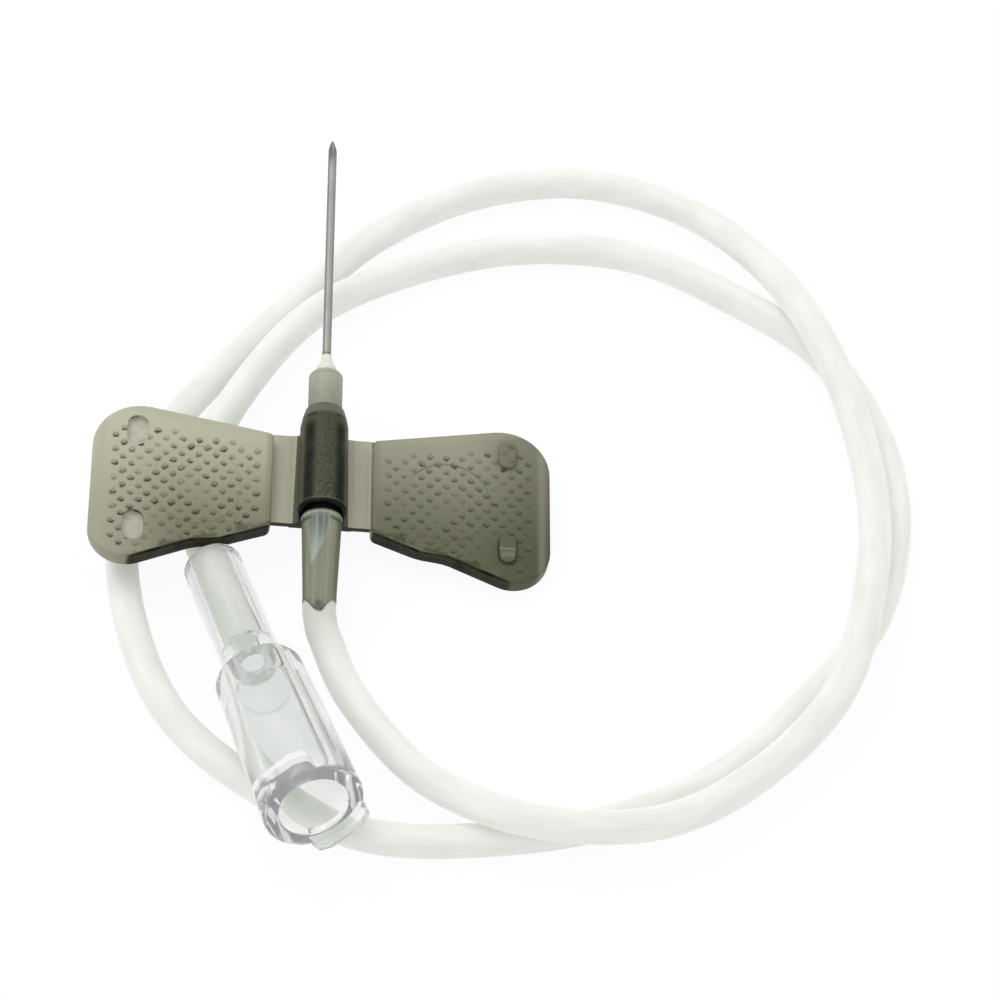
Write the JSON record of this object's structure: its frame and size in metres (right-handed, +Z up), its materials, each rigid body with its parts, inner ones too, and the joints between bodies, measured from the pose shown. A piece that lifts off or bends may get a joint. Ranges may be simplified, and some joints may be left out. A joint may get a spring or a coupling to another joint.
{
  "type": "butterfly needle",
  "caption": "Winged infusion needle: a lancet-point cannula in a hub, folding grip wings on a sleeve, a long soft tube in loose loops and a female luer connector.",
  "frame": {"origin": "middle of the needle assembly's footprint, on the surface that the set lies on", "axes": "+Y the way the needle points, +X to the right wing, +Z up"},
  "size_m": [0.0525, 0.0575, 0.0097],
  "materials": {
    "steel": "bright drawn stainless steel",
    "adhesive": "cured clear glue, slightly milky",
    "hub_plastic": "glossy grey-green translucent plastic",
    "sleeve_plastic": "glossy smoky translucent plastic",
    "wing_plastic": "glossy smoky translucent plastic",
    "tube_plastic": "soft milky translucent tube",
    "clear_plastic": "glossy clear colourless plastic"
  },
  "bodies": {
    "needle_set": {"hub": "hub_plastic", "cannula": "steel", "cannula_adhesive": "adhesive", "wing_sleeve": "sleeve_plastic", "tube": "tube_plastic", "luer_connector": "clear_plastic"},
    "left_wing": {"left_wing": "wing_plastic"},
    "right_wing": {"right_wing": "wing_plastic"}
  },
  "joints": [
    {"name": "left_wing_fold", "type": "hinge", "parent": "needle_set", "child": "left_wing", "pos_m": [-0.00291, -0.00802, 0.00341], "axis": [0, 0.9903, 0.1392], "range_deg": [0, 93], "stiffness_Nm_per_rad": 0.0005},
    {"name": "right_wing_fold", "type": "hinge", "parent": "needle_set", "child": "right_wing", "pos_m": [0.00274, -0.0079, 0.00263], "axis": [0, -0.9903, -0.1392], "range_deg": [0, 93], "stiffness_Nm_per_rad": 0.0005}
  ]
}
